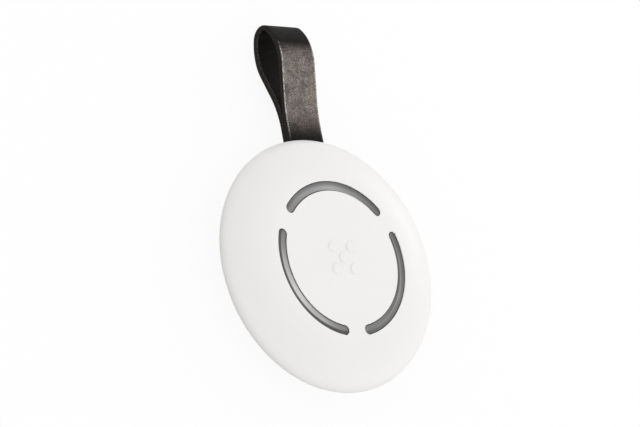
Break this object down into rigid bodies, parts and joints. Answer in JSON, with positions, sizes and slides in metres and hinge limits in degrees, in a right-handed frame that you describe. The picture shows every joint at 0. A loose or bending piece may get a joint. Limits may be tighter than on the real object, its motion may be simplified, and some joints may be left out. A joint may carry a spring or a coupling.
{
  "type": "wireless panic button",
  "caption": "Round white press button with a segmented light ring, a tucked rim, a coin-cell back and a folded leather strap loop to hang or carry it by.",
  "frame": {"origin": "centre of the flat back of the rear cover", "axes": "+Z the way the pressed face looks, +Y toward the strap loop, +X to the right seen from the face"},
  "size_m": [0.06, 0.09, 0.0127],
  "materials": {
    "cover_white": "satin",
    "light_grey": "smoked, satin",
    "pad_rubber": "matte",
    "rear_white": "fine texture",
    "door_white": "fine texture",
    "ring_rubber": "matte",
    "cell_steel": "satin",
    "contact_metal": "satin",
    "board_green": "satin",
    "lamp_white": "gloss",
    "chip_black": "matte",
    "capacitor_tan": "satin",
    "crystal_steel": "satin",
    "can_steel": "satin",
    "antenna_ceramic": "satin",
    "switch_black": "matte",
    "switch_steel": "satin",
    "frame_grey": "matte",
    "screw_steel": "satin",
    "strap_leather": "matte grain",
    "pin_steel": "satin"
  },
  "bodies": {
    "housing": {"rear_cover": "rear_white", "coin_cell": "cell_steel", "battery_clip": "contact_metal", "battery_spring": "contact_metal", "circuit_board": "board_green", "leds": "lamp_white", "resistors": "chip_black", "capacitors": "capacitor_tan", "radio_chip": "chip_black", "crystal": "crystal_steel", "shield_can": "can_steel", "chip_antenna": "antenna_ceramic", "switch_body": "switch_black", "switch_frame": "switch_steel", "inner_frame": "frame_grey", "frame_screws": "screw_steel", "strap": "strap_leather", "strap_pin": "pin_steel"},
    "press_cover": {"front_cover": "cover_white", "light_ring": "light_grey", "press_pad": "pad_rubber"},
    "switch_stem": {"switch_plunger": "switch_black"},
    "door": {"battery_door": "door_white", "door_o_ring": "ring_rubber"}
  },
  "joints": [
    {"name": "cover_press", "type": "slide", "parent": "housing", "child": "press_cover", "axis": [0, 0, -1], "range_m": [0, 0.0004], "stiffness_N_per_m": 6000, "springref_m": -0.0001},
    {"name": "stem_press", "type": "slide", "parent": "housing", "child": "switch_stem", "axis": [0, 0, -1], "range_m": [0, 0.0004]},
    {"name": "door_turn", "type": "hinge", "parent": "housing", "child": "door", "pos_m": [0, 0, 0], "axis": [0, 0, -1], "range_deg": [0, 45]}
  ],
  "couplings": [
    {"joint": "stem_press", "follows": "cover_press", "ratio": 1}
  ]
}
